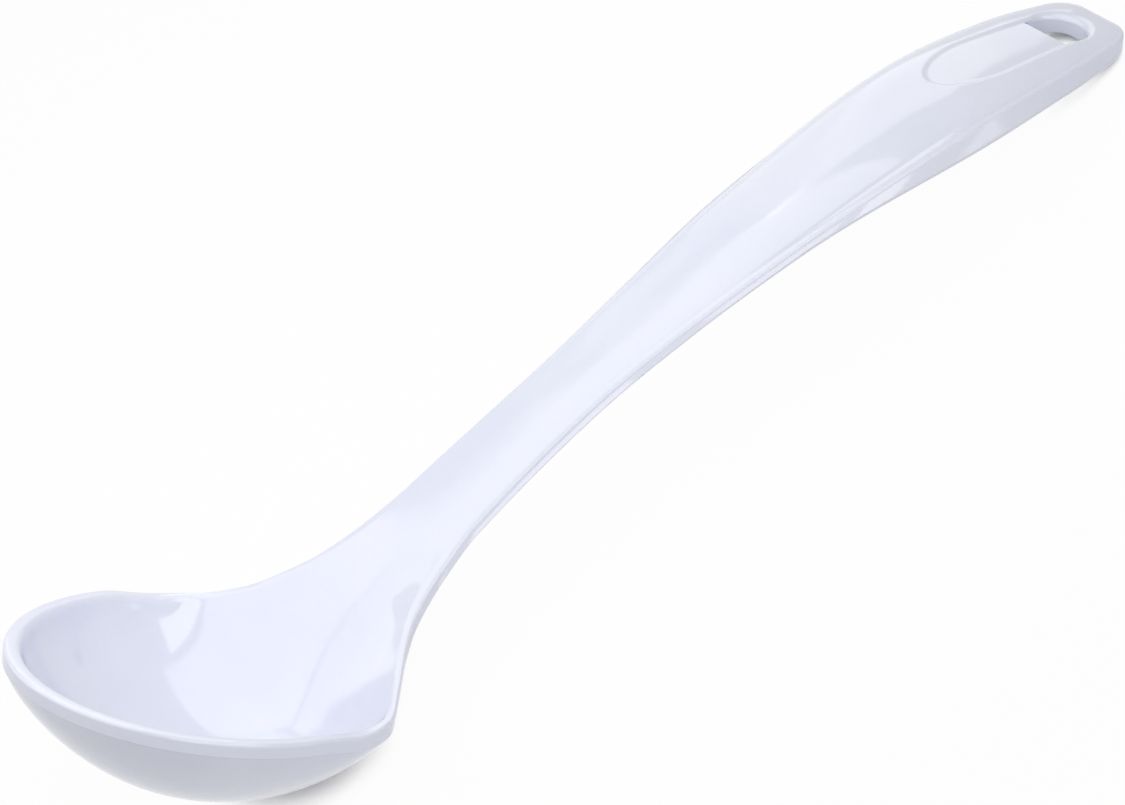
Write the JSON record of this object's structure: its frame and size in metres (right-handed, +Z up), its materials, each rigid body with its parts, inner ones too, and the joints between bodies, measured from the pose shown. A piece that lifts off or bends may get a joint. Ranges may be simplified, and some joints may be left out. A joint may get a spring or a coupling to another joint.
{
  "type": "sauce ladle",
  "caption": "Small melamine ladle with a round bowl, banded rim, rising neck and crowned grip with a hanging hole; lies on its bowl and handle end.",
  "frame": {"origin": "middle of the part's box on the surface that it lies on", "axes": "+X from the bowl to the handle's tip, +Y across the handle, +Z up from the surface"},
  "size_m": [0.264, 0.08, 0.0517],
  "materials": {
    "melamine": "glossy moulded white melamine with a faint cool tint"
  },
  "bodies": {
    "root": {"bowl": "melamine", "neck": "melamine", "grip": "melamine", "hanging_end": "melamine"}
  },
  "joints": []
}
